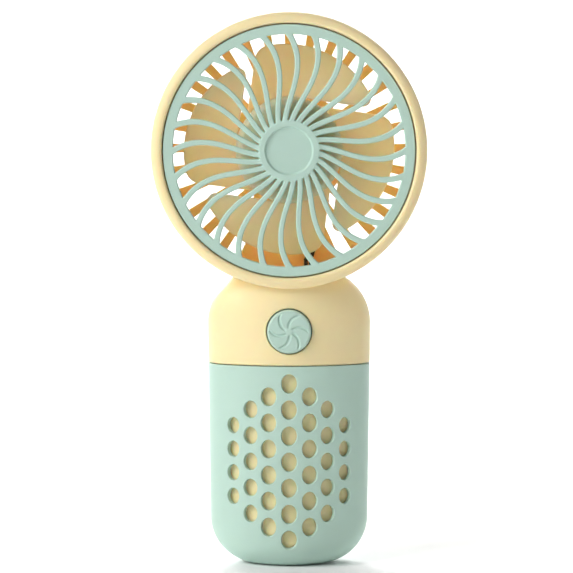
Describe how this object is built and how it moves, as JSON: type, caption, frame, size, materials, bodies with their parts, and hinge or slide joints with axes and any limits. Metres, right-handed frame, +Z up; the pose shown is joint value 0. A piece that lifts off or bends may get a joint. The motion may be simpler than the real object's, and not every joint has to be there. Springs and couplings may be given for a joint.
{
  "type": "handheld electric fan",
  "caption": "Handheld rechargeable fan: round caged head with a bladed impeller, fixed on a flat round-ended handle with a push button and a pierced grip sleeve.",
  "frame": {"origin": "centre of the flat base of the handle, on the surface that the fan stands on", "axes": "+Z up along the handle to the head, +X to the right seen from the front, and the air leaves towards -Y"},
  "size_m": [0.0836, 0.033, 0.1695],
  "materials": {
    "cream_plastic": "fine satin moulded ABS, cream",
    "mint_plastic": "fine satin moulded ABS, mint",
    "blade_plastic": "slightly translucent moulded polypropylene, cream",
    "black_plastic": "moulded nylon, black",
    "board": "green solder mask",
    "components": "epoxy packages",
    "lens": "clear epoxy",
    "steel": "nickel-plated steel",
    "magnet": "sintered ferrite",
    "brass": "sintered bronze and brass",
    "copper": "enamelled copper",
    "cell": "aluminised pouch film",
    "foam": "closed-cell foam",
    "red_wire": "PVC insulation, red",
    "black_wire": "PVC insulation, black"
  },
  "bodies": {
    "housing": {"front_shell": "cream_plastic", "rear_shell": "cream_plastic", "front_grille": "mint_plastic", "grip_sleeve": "mint_plastic", "switch_body": "black_plastic", "main_board": "board", "board_parts": "components", "board_screws": "steel", "usb_shell": "steel", "usb_tongue": "black_plastic", "charge_led": "lens", "shell_screws": "steel", "battery_cell": "cell", "battery_board": "board", "battery_pads": "foam", "battery_lead_red": "red_wire", "battery_lead_black": "black_wire", "motor_can": "steel", "motor_end_cap": "black_plastic", "motor_magnets": "magnet", "motor_brushes": "copper", "motor_terminals": "brass", "motor_front_bush": "brass", "motor_rear_bush": "brass", "motor_leads": "black_wire"},
    "rotor": {"impeller": "blade_plastic", "motor_shaft": "steel", "armature_core": "steel", "armature_windings": "copper", "commutator": "copper"},
    "button": {"button_cap": "mint_plastic", "switch_plunger": "black_plastic"}
  },
  "joints": [
    {"name": "impeller_spin", "type": "hinge", "parent": "housing", "child": "rotor", "pos_m": [0, 0, 0.1277], "axis": [0, -1, 0], "continuous": true},
    {"name": "button_press", "type": "slide", "parent": "housing", "child": "button", "axis": [0, 1, 0], "range_m": [0, 0.0005], "stiffness_N_per_m": 400}
  ]
}
